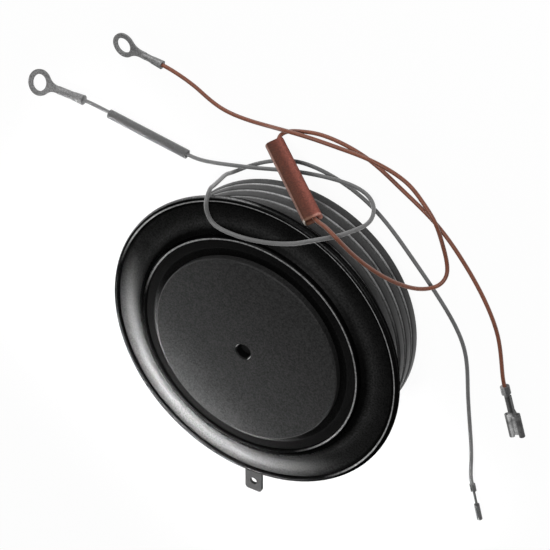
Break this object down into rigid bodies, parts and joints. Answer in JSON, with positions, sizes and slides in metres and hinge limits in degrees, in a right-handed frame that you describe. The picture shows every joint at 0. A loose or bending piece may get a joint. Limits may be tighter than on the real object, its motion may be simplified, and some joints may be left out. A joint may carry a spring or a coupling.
{
  "type": "disc thyristor",
  "caption": "Round press-pack semiconductor capsule with flat pole faces, a ribbed ceramic ring and a beaded flange, beside its loose gate and cathode leads.",
  "frame": {"origin": "centre of the anode pole face, which the capsule stands on", "axes": "+Z along the capsule's axis from the anode face to the cathode face, -Y towards the leads"},
  "size_m": [0.1558, 0.0862, 0.026],
  "materials": {
    "pole_metal": "fine ground, dark",
    "flange_metal": "satin, near black",
    "ceramic": "satin, dark grey",
    "tab_metal": "satin",
    "molybdenum": "ground",
    "silicon": "polished",
    "seal_rubber": "matte",
    "centring_plastic": "matte",
    "gate_brass": "satin",
    "spring_steel": "drawn wire",
    "gate_insulation": "matte",
    "gate_metal": "satin",
    "terminal_metal": "tinned, grainy",
    "grey_wire": "satin",
    "red_wire": "satin",
    "grey_sleeve": "satin",
    "red_sleeve": "satin"
  },
  "bodies": {
    "root": {"cathode_pole": "pole_metal", "anode_pole": "pole_metal", "cathode_flange": "flange_metal", "cathode_weld_ring": "flange_metal", "anode_flange": "flange_metal", "ceramic_ring": "ceramic", "cathode_tab": "tab_metal", "anode_moly_disc": "molybdenum", "cathode_moly_disc": "molybdenum", "silicon_wafer": "silicon", "wafer_edge_seal": "seal_rubber", "centering_ring": "centring_plastic", "gate_contact_pin": "gate_brass", "gate_spring": "spring_steel", "gate_insulator": "gate_insulation", "gate_wire_sleeve": "gate_insulation", "gate_wire": "gate_metal", "gate_tube": "gate_metal", "gate_lead_ring": "terminal_metal", "cathode_lead_ring": "terminal_metal", "gate_lead_socket": "terminal_metal", "cathode_lead_receptacle": "terminal_metal", "gate_lead_wire": "grey_wire", "cathode_lead_wire": "red_wire", "gate_lead_sleeve": "grey_sleeve", "cathode_lead_sleeve": "red_sleeve"}
  },
  "joints": []
}
